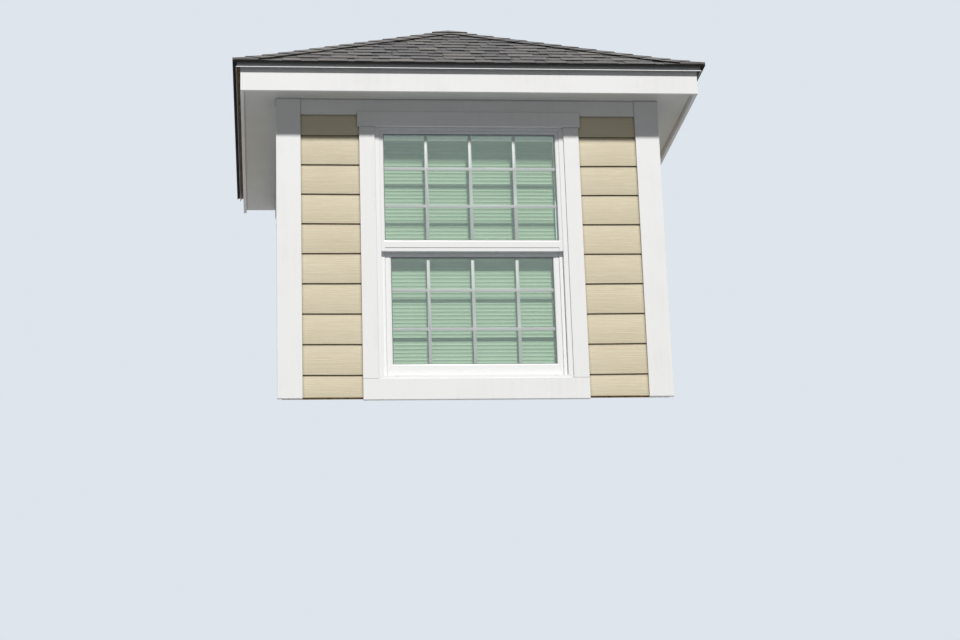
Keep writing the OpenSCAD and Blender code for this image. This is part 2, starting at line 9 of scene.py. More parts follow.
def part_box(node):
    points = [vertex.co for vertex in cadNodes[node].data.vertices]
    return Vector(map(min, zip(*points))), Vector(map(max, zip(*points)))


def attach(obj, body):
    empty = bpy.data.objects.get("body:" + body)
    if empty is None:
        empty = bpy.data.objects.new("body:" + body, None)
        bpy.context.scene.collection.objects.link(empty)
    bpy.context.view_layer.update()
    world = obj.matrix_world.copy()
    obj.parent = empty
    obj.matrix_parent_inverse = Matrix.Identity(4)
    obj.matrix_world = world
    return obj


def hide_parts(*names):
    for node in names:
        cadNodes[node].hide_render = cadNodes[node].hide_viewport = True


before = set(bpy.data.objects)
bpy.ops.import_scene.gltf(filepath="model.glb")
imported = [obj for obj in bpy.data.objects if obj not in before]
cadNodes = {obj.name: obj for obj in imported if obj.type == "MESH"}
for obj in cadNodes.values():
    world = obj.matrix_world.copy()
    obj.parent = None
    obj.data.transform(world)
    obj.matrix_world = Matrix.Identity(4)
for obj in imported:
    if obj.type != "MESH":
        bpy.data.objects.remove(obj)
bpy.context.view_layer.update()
print("stage 1: the construction is loaded,", len(cadNodes), "nodes")

# Main lines of the dormer, in metres: X to the right, Y into the roof, Z up

axisX, axisY, axisZ = 0, 1, 2


def lowOf(node, axis):
    return round(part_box(node)[0][axis], 6)


def highOf(node, axis):
    return round(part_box(node)[1][axis], 6)


dormer = {
    "shellX": highOf("right_wall", axisX),  # outer face of the side sheathing
    "shellY": lowOf("front_wall", axisY),  # outer face of the front sheathing
    "friezeZ": lowOf("front_frieze", axisZ),  # lower edge of the frieze, where the siding ends
    "seatRise": 11 / 12,  # slope of the main roof, which the dormer stands on
    "roofRise": 7 / 12,  # slope of the dormer's own roof
    "deckX": highOf("right_deck", axisX),
    "deckThick": 0.013,
    "eaveZ": lowOf("front_deck", axisZ),  # underside of the deck at its edge
    "dripSheet": 0.001,  # the drip edge lies between the deck and the shingles
    "tileX": highOf("right_shingles", axisX),  # outer edge of the shingles
    "tileY": lowOf("front_shingles", axisY),
    "apexY": highOf("front_shingles", axisY),  # where the hips meet the ridge
    "farY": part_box("left_shingles")[1].y,  # rear end of the shingles
}
sides = {"left": -1, "right": 1}
seatAngle = math.atan(dormer["seatRise"])
roofAngle = math.atan(dormer["roofRise"])
seatNormal = Vector((0, -math.sin(seatAngle), math.cos(seatAngle)))


def slopeAxes(side):
    # the directions up one slope of the roof and square out of it
    flat, steep = math.cos(roofAngle), math.sin(roofAngle)
    if side == "front":
        return Vector((0, flat, steep)), Vector((0, -steep, flat))
    s = sides[side]
    return Vector((-s * flat, 0, steep)), Vector((s * steep, 0, flat))


# Colours and nodes

def paint(red, green, blue):
    # a screen colour from 0 to 255, as the linear values that shaders take
    def linear(value):
        value /= 255
        return value / 12.92 if value <= 0.04045 else ((value + 0.055) / 1.055) ** 2.4
    return (linear(red), linear(green), linear(blue), 1.0)


work = {}  # its "tree" is the node tree that make adds to


def openTree(owner):
    owner.use_nodes = True
    owner.node_tree.nodes.clear()
    work["tree"] = owner.node_tree


def make(kind, inputs=None, **settings):
    # adds a node, whose inputs are values or the outputs of others
    made = work["tree"].nodes.new(kind)
    for key, value in settings.items():
        setattr(made, key, value)
    for key, value in (inputs or {}).items():
        socket = made.inputs[key]
        if isinstance(value, bpy.types.NodeSocket):
            work["tree"].links.new(value, socket)
        else:
            socket.default_value = value
    return made


def newLook(name):
    look = bpy.data.materials.new(name)
    openTree(look)
    return look


def finishLook(look, shader):
    make("ShaderNodeOutputMaterial", {"Surface": shader.outputs[0]})
    return look


def solidLook(look, tone, roughness, normal, specular=0.5):
    shader = make("ShaderNodeBsdfPrincipled", {
        "Base Color": tone, "Roughness": roughness, "Specular IOR Level": specular, "Normal": normal})
    return finishLook(look, shader)


def objectPlace():
    return make("ShaderNodeTexCoord").outputs["Object"]


def alongGrain(along, across):
    # coordinates whose X runs along the grain, Y across it and Z through the board
    along, across = Vector(along).normalized(), Vector(across).normalized()
    place = objectPlace()
    parts = []
    for axis in (along, across, along.cross(across)):
        dot = make("ShaderNodeVectorMath", {0: place, 1: tuple(axis)}, operation="DOT_PRODUCT")
        parts.append(dot.outputs["Value"])
    return make("ShaderNodeCombineXYZ", {0: parts[0], 1: parts[1], 2: parts[2]}).outputs[0]


def stretched(place, scale, shift=(0, 0, 0)):
    return make("ShaderNodeMapping", {"Vector": place, "Scale": scale, "Location": shift}).outputs[0]


def noise(place, scale, detail=4.0, roughness=0.55):
    # scale is one number, or one for each direction
    if isinstance(scale, tuple):
        place, scale = stretched(place, scale), 1.0
    return make("ShaderNodeTexNoise", {
        "Vector": place, "Scale": scale, "Detail": detail, "Roughness": roughness}).outputs["Fac"]


def ramp(value, stops):
    made = make("ShaderNodeValToRGB", {"Fac": value})
    marks = made.color_ramp.elements
    while len(marks) < len(stops):
        marks.new(0.5)
    for mark, (position, colour) in zip(marks, stops):
        mark.position = position
        mark.color = colour
    return made.outputs["Color"]


def spread(value, low, high, fromLow=0.3, fromHigh=0.7):
    return make("ShaderNodeMapRange", {"Value": value, "From Min": fromLow, "From Max": fromHigh,
                                       "To Min": low, "To Max": high}).outputs["Result"]


def math2(operation, a, b=0.0):
    return make("ShaderNodeMath", {0: a, 1: b}, operation=operation).outputs[0]


def times(a, b):
    return math2("MULTIPLY", a, b)


def plus(a, b):
    return math2("ADD", a, b)


def minus(a, b):
    return math2("SUBTRACT", a, b)


def over(value, limit):
    return math2("GREATER_THAN", value, limit)


def mixColour(factor, a, b):
    return make("ShaderNodeMix", {"Factor": factor, 6: a, 7: b}, data_type="RGBA").outputs[2]


def mixValue(factor, a, b):
    return make("ShaderNodeMix", {"Factor": factor, 2: a, 3: b}, data_type="FLOAT").outputs[0]


def bumped(height, strength, distance):
    return make("ShaderNodeBump", {"Height": height, "Strength": strength,
                                   "Distance": distance}).outputs["Normal"]


def shadeAndGrime(tone, reach, amount, colour):
    # painted shade in corners and joints, with some grime there; none on open faces
    clear = make("ShaderNodeAmbientOcclusion", {"Distance": reach}, samples=4).outputs["AO"]
    shadeAndGrimeMask = spread(clear, 1, 0, 0.35, 0.95)
    return mixColour(times(shadeAndGrimeMask, amount), tone, colour)


def worn(tone, reach, amount, colour):
    # a change of tone along outer edges
    whole = make("ShaderNodeAmbientOcclusion", {"Distance": reach}, samples=4, inside=True,
                 only_local=True).outputs["AO"]
    edge = spread(whole, 1, 0, 0.45, 0.9)
    return mixColour(times(edge, amount), tone, colour)


# Looks

def whitePaint(name, colour, roughness=(0.38, 0.56), dusty=0.2, along=(1, 0, 0), across=(0, 0, 1)):
    # satin paint on trim boards: faint brush lines, soft dust and rain streaks
    look = newLook(name)
    place, plain = alongGrain(along, across), objectPlace()
    brush = noise(place, (7, 420, 420), 3)
    peel = noise(plain, 520, 2)
    cloud = noise(plain, 3.1, 5, 0.6)
    streak = noise(plain, (38, 38, 1.3), 4, 0.6)
    dust = times(spread(cloud, 0, 1, 0.42, 0.72), spread(streak, 0.25, 1, 0.4, 0.7))
    tone = mixColour(times(dust, dusty), colour, paint(196, 193, 184))
    tone = mixColour(spread(brush, 0, 0.05), tone, (0.72, 0.72, 0.72, 1))
    # painted shade in corners and joints, with some grime
    tone = shadeAndGrime(tone, 0.012, 0.62, paint(112, 108, 100))
    tone = worn(tone, 0.0018, 0.22, paint(198, 196, 190))
    height = plus(times(brush, 0.6), times(peel, 0.4))
    return solidLook(look, tone, spread(cloud, *roughness), bumped(height, 0.22, 0.0005))


def boardPaint(name, colour, along):
    # painted fibre-cement boards pressed with a cedar grain
    look = newLook(name)
    place = alongGrain(along, (0, 0, 1))
    wander = noise(place, (2.2, 9, 9), 3)
    sway = make("ShaderNodeCombineXYZ", {1: times(wander, 0.018)}).outputs[0]
    bent = make("ShaderNodeVectorMath", {0: place, 1: sway}, operation="ADD").outputs[0]
    rings = make("ShaderNodeTexWave", {"Vector": stretched(bent, (1.6, 44, 44)), "Scale": 1.0,
                                       "Distortion": 5.5, "Detail": 3.0, "Detail Scale": 1.6},
                 bands_direction="Y").outputs["Fac"]
    fibre = noise(bent, (10, 360, 360), 4, 0.6)
    pits = noise(bent, (26, 900, 900), 2)
    height = plus(plus(times(rings, 0.5), times(fibre, 0.9)), times(pits, 0.2))
    cloud = noise(place, 2.4, 5, 0.6)
    shade = make("ShaderNodeAttribute", attribute_name="boardShade").outputs["Fac"]
    underShade = make("ShaderNodeAttribute", attribute_name="boardUnderShade").outputs["Fac"]
    tone = mixColour(spread(height, 0, 0.24, 0.5, 1.1), colour, paint(158, 145, 118))
    faded = times(spread(cloud, 0, 1, 0.45, 0.75), 0.22)
    tone = mixColour(faded, tone, paint(232, 225, 208))
    tone = mixColour(times(shade, 0.12), tone, paint(184, 172, 146))
    # painted shade in the corners under each lap and at the trim, with some grime
    tone = shadeAndGrime(tone, 0.016, 0.7, paint(96, 78, 50))
    # painted shade on the lower edges of the boards, where the laps overhang
    tone = mixColour(times(underShade, 0.85), tone, paint(88, 66, 38))
    return solidLook(look, tone, spread(fibre, 0.52, 0.72), bumped(height, 0.9, 0.0011))


def shingleLook(name):
    # ceramic granules on asphalt, each tab with a blend of its own, and bare asphalt on cut edges
    look = newLook(name)
    place = objectPlace()
    shade = make("ShaderNodeAttribute", attribute_name="tabShade").outputs["Fac"]
    patch = noise(place, 17, 4, 0.6)
    tone = ramp(plus(shade, spread(patch, -0.12, 0.12)), [
        (0.0, paint(28, 26, 24)), (0.12, paint(74, 73, 75)), (0.4, paint(93, 92, 93)),
        (0.7, paint(108, 106, 104)), (1.0, paint(126, 122, 117))])
    grains = make("ShaderNodeTexVoronoi", {"Vector": place, "Scale": 620.0})
    speck = make("ShaderNodeSeparateColor", {0: grains.outputs["Color"]}).outputs[0]
    tone = mixColour(spread(speck, 0.0, 0.55, 0.55, 1.0), tone, paint(150, 149, 150))
    tone = mixColour(spread(speck, 0.6, 0.0, 0.0, 0.3), tone, paint(24, 24, 27))
    weather = noise(place, 1.7, 5, 0.6)
    faded = times(spread(weather, 0, 1, 0.5, 0.8), 0.2)
    tone = mixColour(faded, tone, paint(134, 127, 116))
    # painted shade along the butts and in the joints, with some grime
    tone = shadeAndGrime(tone, 0.012, 0.85, paint(24, 21, 19))
    bare = times(math2("LESS_THAN", shade, -0.05), 0.9)
    tone = mixColour(bare, tone, paint(30, 27, 25))
    coarse = noise(place, 190, 3)
    height = plus(times(grains.outputs["Distance"], -0.8), times(coarse, 0.8))
    return solidLook(look, tone, spread(speck, 0.82, 0.96, 0, 1),
                     bumped(height, 0.8, 0.0014), specular=0.3)


def strandParts(place):
    # pressed wood strands in three crossed layers: colour and height
    layers = []
    for turn, shift in ((0.35, 0.0), (-0.5, 3.7), (1.25, 8.1)):
        turned = make("ShaderNodeVectorRotate", {"Vector": place, "Angle": turn, "Axis": (0, 0, 1)},
                      rotation_type="AXIS_ANGLE").outputs[0]
        spot = stretched(turned, (11, 58, 58), (shift, shift, shift))
        cell = make("ShaderNodeTexVoronoi", {"Vector": spot, "Scale": 1.0, "Randomness": 1.0})
        fibre = noise(turned, (24, 700, 700), 3)
        chance = make("ShaderNodeSeparateColor", {0: cell.outputs["Color"]}).outputs
        layers.append((plus(times(chance[0], 0.8), times(fibre, 0.25)), chance[1]))
    height = layers[0][0]
    for (upper, order), share in zip(layers[1:], (0.5, 0.66)):
        height = mixValue(over(order, share), height, upper)
    tone = ramp(height, [
        (0.05, paint(138, 98, 58)), (0.35, paint(184, 142, 92)), (0.6, paint(208, 170, 118)),
        (0.95, paint(228, 198, 150))])
    return tone, height


def strandBoard(name, along, across):
    # roof sheathing, with painted shade and some grime where it meets the boards round it
    look = newLook(name)
    tone, height = strandParts(alongGrain(along, across))
    tone = shadeAndGrime(tone, 0.03, 0.9, paint(36, 33, 30))
    return solidLook(look, tone, spread(height, 0.6, 0.8, 0, 1),
                     bumped(height, 0.5, 0.0008))


def timberParts(place):
    # sawn softwood with growth rings, fine fibre and a few knots: colour and height
    wander = noise(place, (1.1, 7, 7), 3)
    knots = make("ShaderNodeTexVoronoi", {"Vector": stretched(place, (2.3, 13, 13)), "Scale": 1.0})
    near = spread(knots.outputs["Distance"], 1, 0, 0.06, 0.3)
    phase = plus(times(wander, 16.0), times(near, 5.0))
    rings = make("ShaderNodeTexWave", {
        "Vector": stretched(place, (0.7, 60, 42)), "Scale": 1.0, "Detail": 2.0, "Detail Scale": 1.2,
        "Distortion": 3.0, "Phase Offset": phase}, wave_type="BANDS", bands_direction="Y").outputs["Fac"]
    fibre = noise(place, (14, 620, 620), 4, 0.6)
    tone = ramp(rings, [
        (0.0, paint(228, 200, 152)), (0.55, paint(216, 182, 130)), (1.0, paint(184, 140, 88))])
    tone = mixColour(spread(fibre, 0, 0.22), tone, paint(164, 122, 78))
    knot = spread(knots.outputs["Distance"], 0.85, 0, 0.03, 0.10)
    tone = mixColour(knot, tone, paint(104, 66, 38))
    return tone, plus(times(rings, 0.3), fibre)


def timberLook(name, along, across=(0, 0, 1)):
    look = newLook(name)
    tone, height = timberParts(alongGrain(along, across))
    return solidLook(look, tone, spread(height, 0.58, 0.74, 0.3, 1.0),
                     bumped(height, 0.45, 0.0006))


def plasterParts(place):
    # rolled wall paint: colour and height
    cloud = noise(place, 2.6, 4)
    roller = noise(place, 240, 3, 0.6)
    tone = mixColour(spread(cloud, 0, 0.25), paint(226, 222, 210), paint(212, 207, 194))
    return tone, roller


def plasterLook(name):
    look = newLook(name)
    tone, height = plasterParts(objectPlace())
    return solidLook(look, tone, spread(height, 0.62, 0.78), bumped(height, 0.35, 0.0006))


framedWall = {
    # how deep each layer ends, from the outer face
    "sheathing": 0.0115,
    "studs": 0.0870,
    "plasterboard": 0.0992,
    "seam": 0.0006,  # half the width of the dark line between two layers
}


def wallLook(name, axis, origin, sign, along):
    # a framed wall cut open: sheathing outside, timber in the middle, then plasterboard and paint
    look = newLook(name)
    plain = objectPlace()
    place = alongGrain(along, (0, 0, 1))
    apart = make("ShaderNodeSeparateXYZ", {0: plain}).outputs[axis]
    depth = times(minus(apart, origin), sign)
    strandTone, strandHeight = strandParts(place)
    woodTone, woodHeight = timberParts(place)
    plasterTone, plasterHeight = plasterParts(plain)
    inWood = over(depth, framedWall["sheathing"])
    inBoard = over(depth, framedWall["studs"])
    inPaint = over(depth, framedWall["plasterboard"])
    gypsum = mixColour(spread(plasterHeight, 0, 1), paint(206, 204, 198), paint(224, 222, 216))
    tone = mixColour(inWood, strandTone, woodTone)
    tone = mixColour(inBoard, tone, gypsum)
    tone = mixColour(inPaint, tone, plasterTone)
    for layer in ("sheathing", "studs"):
        off = math2("ABSOLUTE", minus(depth, framedWall[layer]))
        seam = times(math2("LESS_THAN", off, framedWall["seam"]), 0.75)
        tone = mixColour(seam, tone, paint(60, 48, 36))
    height = mixValue(inWood, strandHeight, woodHeight)
    height = mixValue(inBoard, height, plasterHeight)
    return solidLook(look, tone, spread(height, 0.6, 0.78), bumped(height, 0.4, 0.0006))


def vinylLook(name, colour):
    # extruded plastic: even and slightly glossy, with faint mottling, dust, and painted shade in corners and
    # joints
    look = newLook(name)
    place = objectPlace()
    cloud = noise(place, 5.5, 4)
    mottle = noise(place, 260, 2)
    tone = mixColour(spread(cloud, 0, 0.10, 0.4, 0.7), colour, paint(214, 214, 208))
    tone = shadeAndGrime(tone, 0.007, 0.5, paint(122, 122, 118))
    return solidLook(look, tone, spread(cloud, 0.26, 0.38), bumped(mottle, 0.12, 0.0004))


def metalPaint(name, colour):
    # coated sheet metal with soft dents, and painted shade under the shingles' edge
    look = newLook(name)
    place = objectPlace()
    cloud = noise(place, 6.0, 4)
    dents = noise(place, 16, 2)
    tone = mixColour(spread(cloud, 0, 0.16, 0.45, 0.75), colour, paint(186, 184, 178))
    tone = shadeAndGrime(tone, 0.028, 0.85, paint(52, 51, 50))
    return solidLook(look, tone, spread(cloud, 0.28, 0.42), bumped(dents, 0.10, 0.002))


def glassLook(name, middle):
    # coated window glass: the inner pane carries the cool coating, and both mirror the sky a little
    look = newLook(name)
    place = objectPlace()
    deep = make("ShaderNodeSeparateXYZ", {0: place}).outputs[axisY]
    tint = mixColour(over(deep, middle), finishes["outerPane"], finishes["innerPane"])
    film = noise(place, (5, 5, 1.4), 4)
    waves = noise(place, 2.2, 1)
    normal = bumped(waves, 0.04, 0.004)
    clear = make("ShaderNodeBsdfTransparent", {"Color": tint})
    gloss = make("ShaderNodeBsdfGlossy", {
        "Color": finishes["mirrored"], "Roughness": spread(film, 0.0, 0.05), "Normal": normal})
    facing = make("ShaderNodeLayerWeight", {"Blend": 0.5, "Normal": normal}).outputs["Facing"]
    slanting = times(math2("POWER", facing, 5.0), finishes["mirrorAside"])
    share = plus(slanting, finishes["mirrorAhead"])
    shader = make("ShaderNodeMixShader", {0: share, 1: clear.outputs[0], 2: gloss.outputs[0]})
    return finishLook(look, shader)


blind = {
    "top": lowOf("blind_headrail", axisZ),
    "pitch": 0.022,  # from slat to slat
}


def slatLook(name, colour):
    # plastic slats: each has a tone of its own, and dust lies towards their edges
    look = newLook(name)
    place = objectPlace()
    cloud = noise(place, (1.5, 8, 8), 4)
    level = make("ShaderNodeSeparateXYZ", {0: place}).outputs[axisZ]
    step = math2("DIVIDE", minus(blind["top"], level), blind["pitch"])
    number = math2("ROUND", step)
    chance = make("ShaderNodeTexWhiteNoise", {"W": number}, noise_dimensions="1D").outputs["Value"]
    edge = math2("ABSOLUTE", minus(step, number))
    tone = mixColour(spread(cloud, 0, 0.25), colour, paint(216, 217, 204))
    tone = mixColour(spread(chance, 0, 0.22, 0, 1), tone, paint(208, 210, 196))
    tone = mixColour(spread(edge, 0, 0.14, 0.3, 0.5), tone, paint(150, 152, 138))
    return solidLook(look, tone, spread(cloud, 0.42, 0.56),
                     bumped(noise(place, 400, 2), 0.08, 0.0004))


def sealLook(name, colour):
    # spacers and weld lines
    look = newLook(name)
    cloud = noise(objectPlace(), 60, 3)
    tone = mixColour(spread(cloud, 0, 0.35), colour, paint(120, 122, 124))
    return solidLook(look, tone, spread(cloud, 0.4, 0.55), bumped(cloud, 0.15, 0.0004))


panes = {
    "bite": 0.007,  # how far the glass runs into its sash
}


def paneOf(sash):
    # the visible glass of one sash: half its width, its lower and upper edge, and its middle in depth
    node, bite = sash + "_glass", panes["bite"]
    middle = (lowOf(node, axisY) + highOf(node, axisY)) / 2
    return highOf(node, axisX) - bite, lowOf(node, axisZ) + bite, highOf(node, axisZ) - bite, middle


finishes = {
    "trimWhite": paint(238, 239, 240),
    "soffitWhite": paint(226, 226, 223),
    "sidingTan": paint(220, 210, 182),
    "vinylWhite": paint(241, 242, 243),
    "dripWhite": paint(234, 236, 238),
    "blindCream": paint(248, 249, 240),
    "spacerGrey": paint(96, 99, 102),
    "weldGrey": paint(206, 207, 208),
    "outerPane": (0.975, 0.99, 0.982, 1),
    "innerPane": (0.915, 0.985, 0.932, 1),
    "mirrored": (0.90, 0.96, 1.0, 1),
    "mirrorAhead": 0.042,  # share of light that the glass mirrors when seen straight on
    "mirrorAside": 0.90,  # and what a slanting view adds to it
}
trimLying = whitePaint("trimPaintLying", finishes["trimWhite"])
trimStanding = whitePaint("trimPaintStanding", finishes["trimWhite"], along=(0, 0, 1), across=(1, 1, 0))
trimDeep = whitePaint("trimPaintDeep", finishes["trimWhite"], along=(0, 1, 0))
sidingFront = boardPaint("sidingPaintFront", finishes["sidingTan"], (1, 0, 0))
sidingSide = boardPaint("sidingPaintSide", finishes["sidingTan"], (0, 1, 0))
roofShingle = shingleLook("roofShingle")
windowVinyl = vinylLook("windowVinyl", finishes["vinylWhite"])
blindSlat = slatLook("blindSlat", finishes["blindCream"])
spacerGrey = sealLook("spacerGrey", finishes["spacerGrey"])
weldGrey = sealLook("weldGrey", finishes["weldGrey"])
nodeLooks = (
    # finish, how far the edges are eased, and the nodes that have both
    (wallLook("framedWallFront", axisY, dormer["shellY"], 1, (1, 0, 0)), 0, ("front_wall",)),
    (wallLook("framedWallLeft", axisX, -dormer["shellX"], 1, (0, 1, 0)), 0, ("left_wall",)),
    (wallLook("framedWallRight", axisX, dormer["shellX"], -1, (0, 1, 0)), 0, ("right_wall",)),
    (plasterLook("ceilingPaint"), 0, ("ceiling",)),
    (trimStanding, 0.0022, ("front_corner_board_left", "front_corner_board_right", "side_corner_board_left",
                            "side_corner_board_right", "left_casing", "right_casing")),
    (trimStanding, 0.0010, ("window_liner",)),
    (trimLying, 0.0022, ("head_casing", "bottom_casing")),
    (trimLying, 0.0020, ("front_fascia",)),
    (trimLying, 0.0016, ("front_frieze",)),
    (trimDeep, 0.0020, ("left_fascia", "right_fascia")),
    (trimDeep, 0.0016, ("side_friezes",)),
    (whitePaint("soffitPaint", finishes["soffitWhite"], roughness=(0.5, 0.66), dusty=0.28), 0,
     ("front_soffit", "left_soffit", "right_soffit")),
    (windowVinyl, 0.0016, ("window_frame", "upper_sash", "lower_sash")),
    (glassLook("upperGlass", paneOf("upper")[3]), 0, ("upper_glass",)),
    (glassLook("lowerGlass", paneOf("lower")[3]), 0, ("lower_glass",)),
    (blindSlat, 0.0003, ("blind_headrail",)),
    (blindSlat, 0, ("blind_slats",)),
    (metalPaint("dripPaint", finishes["dripWhite"]), 0.0003, ("drip_edge",)),
    (strandBoard("deckStrandsFront", (1, 0, 0), slopeAxes("front")[0]), 0, ("front_deck",)),
    (strandBoard("deckStrandsSide", (0, 1, 0), slopeAxes("left")[0]), 0, ("left_deck", "right_deck")),
    (timberLook("ridgeTimber", (0, 1, 0)), 0.0025, ("ridge_board",)),
    (timberLook("hipTimber", (0, 1, 0.38)), 0.0025, ("hip_rafters",)),
    (timberLook("rafterTimberFront", *slopeAxes("front")), 0.0025, ("front_rafters",)),
    (timberLook("rafterTimberLeft", *slopeAxes("left")), 0.0025, ("left_rafters",)),
    (timberLook("rafterTimberRight", *slopeAxes("right")), 0.0025, ("right_rafters",)),
)
print("stage 2: looks are made,", len(bpy.data.materials), "materials")

# Looks and eased edges go on the pieces that come from the construction

easing = {
    "weld": 0.00002,  # points closer than this are joined first
    "flat": 1,  # degrees: faces this close to one plane become one
    "sharp": 30,  # degrees: edges sharper than this are eased
    "segments": 2,
}


def dress(name, look, width):
    piece = cadNodes[name]
    piece.data.materials.clear()
    piece.data.materials.append(look)
    for polygon in piece.data.polygons:
        polygon.material_index = 0
    if not width:
        return
    weld = piece.modifiers.new("weld", "WELD")
    weld.merge_threshold = easing["weld"]
    flat = piece.modifiers.new("flatFaces", "DECIMATE")
    flat.decimate_type = "DISSOLVE"
    flat.angle_limit = math.radians(easing["flat"])
    eased = piece.modifiers.new("easedEdges", "BEVEL")
    eased.width = width
    eased.segments = easing["segments"]
    eased.limit_method = "ANGLE"
    eased.angle_limit = math.radians(easing["sharp"])
    piece.modifiers.new("evenShading", "WEIGHTED_NORMAL").weight = 100


for finish, edgeWidth, nodeNames in nodeLooks:
    for nodeName in nodeNames:
        dress(nodeName, finish, edgeWidth)
print("stage 3:", sum(len(nodeNames) for *_, nodeNames in nodeLooks), "nodes have their finish")

# Mesh tools

samePoint = 1e-6  # points closer than this are one


def addPrism(bm, lower, upper):
    # a closed solid between two outlines with the same number of points
    low = [bm.verts.new(p) for p in lower]
    high = [bm.verts.new(p) for p in upper]
    count = len(low)
    faces = [bm.faces.new(low[::-1]), bm.faces.new(high)]
    for i in range(count):
        k = (i + 1) % count
        faces.append(bm.faces.new((low[i], low[k], high[k], high[i])))
    return faces


def keepSide(bm, point, normal, layers=()):
    # cuts the mesh with a plane, keeps the side that the normal points to and closes the cuts
    cut = bmesh.ops.bisect_plane(bm, geom=bm.verts[:] + bm.edges[:] + bm.faces[:], dist=samePoint,
                                 plane_co=point, plane_no=normal, clear_inner=True)
    edges = [e for e in cut["geom_cut"] if isinstance(e, bmesh.types.BMEdge)]
    edges = [e for e in edges if len(e.link_faces) < 2]
    if edges:
        for face in bmesh.ops.edgeloop_fill(bm, edges=edges)["faces"]:
            beside = [f for e in face.edges for f in e.link_faces if f is not face]
            for layer in layers:
                if beside:
                    face[layer] = beside[0][layer]


def addToScene(name, data):
    thing = bpy.data.objects.new(name, data)
    bpy.context.scene.collection.objects.link(thing)
    return thing


def addPiece(name, bm, look, replaced=(), smooth=None):
    # smooth is the angle in degrees from which an edge stays sharp
    bmesh.ops.recalc_face_normals(bm, faces=bm.faces[:])
    mesh = bpy.data.meshes.new(name)
    bm.to_mesh(mesh)
    bm.free()
    mesh.materials.append(look)
    if smooth is not None:
        mesh.polygons.foreach_set("use_smooth", [True] * len(mesh.polygons))
        mesh.set_sharp_from_angle(angle=math.radians(smooth))
    piece = addToScene(name, mesh)
    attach(piece, "root")
    if replaced:
        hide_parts(*replaced)


# Lap siding

lapSiding = {
    "exposure": 0.1778,  # what shows of each board
    "firstLap": 0.0846,  # height of the lowest lap
    "lift": {"left": 0.0070, "right": 0.0042},  # how much higher all laps are on each side
    "lean": {"left": 0.0005, "right": 0.0020},  # how much higher a front lap ends at the corner
    "least": 0.02,  # height of the lowest board that is worth a lap
    "proud": 0.0152,  # how far a board's lower edge stands off the sheathing
    "thick": 0.0082,
    "backGap": 0.0004,  # between a board's upper edge and the sheathing
    "tuck": 0.022,  # what a board runs up behind the next one
    "sway": 0.0006,  # how far a lap may be out of level
    "easing": 0.0012,
    "level": 0.004,  # points this close in height are on one level line
    "frontGap": 0.0006,  # between a front board's ends and the trim
    "sideGap": 0.001,  # between a side board's front end and the trim
    "sideFoot": 0.12,  # how far the side boards start below the lowest lap
    "sidePast": 0.05,  # what they run on at the back before they are cut
    "seatGap": 0.025,  # how far over the seat they are cut
    "seed": 11,
}


def lapLevels(foot, lift):
    # the foot of the wall and the height of each lap, up to the frieze
    levels, lap = [foot], lapSiding["firstLap"] + lift
    while lap < dormer["friezeZ"] - lapSiding["least"]:
        if lap > foot + lapSiding["least"]:
            levels.append(lap)
        lap += lapSiding["exposure"]
    return levels + [dormer["friezeZ"]]


def boardOutline(low, top, isLast):
    # how far out and how high the corners of a board's end are; the last board meets the frieze
    shape = lapSiding
    slope = shape["thick"] / (shape["exposure"] if isLast else top - low)
    reach = top if isLast else top + shape["tuck"]
    return [(shape["proud"], low), (shape["proud"] - slope * (reach - low), reach),
            (shape["backGap"], reach), (shape["proud"] - shape["thick"], low)]


def lapBoards(name, look, node, place, span, foot, lift, lean=0.0, clip=None):
    # place turns a distance along the wall, a distance out of it and a height into a point
    shape, chance = lapSiding, random.Random(lapSiding["seed"] + len(name))
    bm = bmesh.new()
    shade = bm.faces.layers.float.new("boardShade")
    underShade = bm.faces.layers.float.new("boardUnderShade")
    levels = lapLevels(foot, lift)
    for index, low in enumerate(levels[:-1]):
        outline = boardOutline(low, levels[index + 1], index == len(levels) - 2)
        sway = chance.uniform(-shape["sway"], shape["sway"])
        ends = []
        for along, rise in zip(span, (sway, lean - sway)):
            ends.append([place(along, out, z + (rise if z == low and index else 0)) for out, z in outline])
        tone = chance.random()
        for face in addPrism(bm, *ends):
            face[shade] = tone
            # the butt faces are marked for painted shade
            if all(abs(v.co.z - low) < shape["level"] for v in face.verts):
                face[underShade] = 1
    butts = []
    for edge in bm.edges:
        a, b = (v.co for v in edge.verts)
        if abs(a.z - b.z) < shape["level"] and (a - b).length > shape["exposure"] / 2:
            butts.append(edge)
    bmesh.ops.bevel(bm, geom=butts, offset=shape["easing"], segments=2, affect="EDGES", profile=0.6)
    if clip:
        keepSide(bm, *clip, layers=(shade, underShade))
    addPiece(name, bm, look, (node,), smooth=35)


frontLow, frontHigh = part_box("front_siding_left")
sideLow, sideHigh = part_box("left_siding")
for side, s in sides.items():
    lapBoards("frontLapBoards_" + side, sidingFront, "front_siding_" + side,
              lambda along, out, z: Vector((s * along, dormer["shellY"] - out, z)),
              (-frontHigh.x + lapSiding["frontGap"], -frontLow.x - lapSiding["frontGap"]), frontLow.z,
              lapSiding["lift"][side], lapSiding["lean"][side])
    lapBoards("sideLapBoards_" + side, sidingSide, side + "_siding",
              lambda along, out, z: Vector((s * (dormer["shellX"] + out), along, z)),
              (sideLow.y + lapSiding["sideGap"], sideHigh.y + lapSiding["sidePast"]),
              lapSiding["firstLap"] - lapSiding["sideFoot"], lapSiding["lift"][side],
              clip=((0, 0, lapSiding["seatGap"]), seatNormal))
print("stage 4: lap boards are hung")

# Shingles

